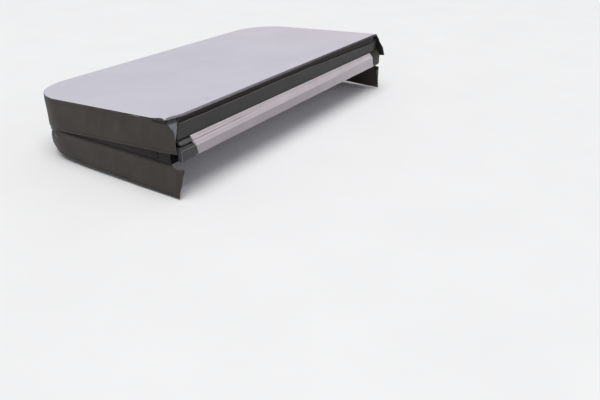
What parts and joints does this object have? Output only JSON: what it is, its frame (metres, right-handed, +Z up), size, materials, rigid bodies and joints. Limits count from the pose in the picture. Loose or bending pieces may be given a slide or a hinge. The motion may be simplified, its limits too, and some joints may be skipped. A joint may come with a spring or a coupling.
{
  "type": "spa cover",
  "caption": "Folding insulated spa cover with tapered foam halves, a hinge pad, zipped vinyl jackets and hanging skirts, shown folded.",
  "frame": {"origin": "centre of the fixed half's flat underside, the face that rests on the spa's rim", "axes": "+Y along the fold, +X from the outer edge towards the fold, +Z up"},
  "size_m": [1.1312, 2.117, 0.371],
  "materials": {
    "dark_vinyl": "embossed marine vinyl, satin",
    "underside_liner": "coated woven liner, satin",
    "pad_vinyl": "smooth pale vinyl, satin",
    "foam": "expanded polystyrene, matte",
    "vapour_film": "polyethylene film",
    "galvanised_steel": "galvanised",
    "zip_tape": "woven polyester with moulded coil",
    "zip_metal": "die-cast, satin",
    "webbing": "woven polyester webbing",
    "grommet": "moulded nylon, satin"
  },
  "bodies": {
    "fixed_half": {"fixed_drain_grommet_far": "grommet", "fixed_drain_grommet_near": "grommet", "fixed_foam_core": "foam", "fixed_handle": "webbing", "fixed_handle_patch_far": "dark_vinyl", "fixed_handle_patch_near": "dark_vinyl", "fixed_hinge_patch_far": "dark_vinyl", "fixed_hinge_patch_near": "dark_vinyl", "fixed_hinge_wall": "dark_vinyl", "fixed_side_wall": "dark_vinyl", "fixed_skirt_far": "dark_vinyl", "fixed_skirt_far_corner": "dark_vinyl", "fixed_skirt_near": "dark_vinyl", "fixed_skirt_near_corner": "dark_vinyl", "fixed_skirt_outer": "dark_vinyl", "fixed_steel_channel": "galvanised_steel", "fixed_top_panel": "dark_vinyl", "fixed_top_piping": "dark_vinyl", "fixed_underside_liner": "underside_liner", "fixed_vapour_wrap": "vapour_film", "fixed_zip_tape": "zip_tape", "fold_strip": "dark_vinyl", "heat_seal_cap_far": "dark_vinyl", "heat_seal_cap_near": "dark_vinyl", "heat_seal_pad": "pad_vinyl"},
    "flap_half": {"flap_drain_grommet_far": "grommet", "flap_drain_grommet_near": "grommet", "flap_foam_core": "foam", "flap_gusset_far": "dark_vinyl", "flap_gusset_near": "dark_vinyl", "flap_hinge_patch_far": "dark_vinyl", "flap_hinge_patch_near": "dark_vinyl", "flap_hinge_wall": "dark_vinyl", "flap_side_wall": "dark_vinyl", "flap_steel_channel": "galvanised_steel", "flap_top_panel": "dark_vinyl", "flap_top_piping": "dark_vinyl", "flap_underside_liner": "underside_liner", "flap_vapour_wrap": "vapour_film", "flap_zip_fly": "dark_vinyl", "flap_zip_tape": "zip_tape"},
    "flap_skirt": {"flap_handle": "webbing", "flap_handle_patch_far": "dark_vinyl", "flap_handle_patch_near": "dark_vinyl", "flap_skirt_far": "dark_vinyl", "flap_skirt_far_corner": "dark_vinyl", "flap_skirt_near": "dark_vinyl", "flap_skirt_near_corner": "dark_vinyl", "flap_skirt_outer": "dark_vinyl"},
    "fixed_zip": {"fixed_zip_slider": "zip_metal", "fixed_zip_pull": "zip_metal"},
    "flap_zip": {"flap_zip_slider": "zip_metal", "flap_zip_pull": "zip_metal"}
  },
  "joints": [
    {"name": "fold", "type": "hinge", "parent": "fixed_half", "child": "flap_half", "pos_m": [0.54, 0, 0.106], "axis": [0, 1, 0], "range_deg": [0, 183.08], "deforming": ["heat_seal_pad", "heat_seal_cap_near", "heat_seal_cap_far", "fold_strip", "flap_zip_fly", "flap_gusset_near", "flap_gusset_far"]},
    {"name": "flap_skirt_drop", "type": "slide", "parent": "flap_half", "child": "flap_skirt", "axis": [-0.0538, 0, 0.9986], "range_m": [0, 0.15]},
    {"name": "fixed_zip_run", "type": "slide", "parent": "fixed_half", "child": "fixed_zip", "axis": [0, -1, 0], "range_m": [0, 1.91]},
    {"name": "flap_zip_run", "type": "slide", "parent": "flap_half", "child": "flap_zip", "axis": [0, -1, 0], "range_m": [0, 1.91]}
  ],
  "couplings": [
    {"joint": "flap_skirt_drop", "follows": "fold", "m_per_rad": 0.04694}
  ]
}
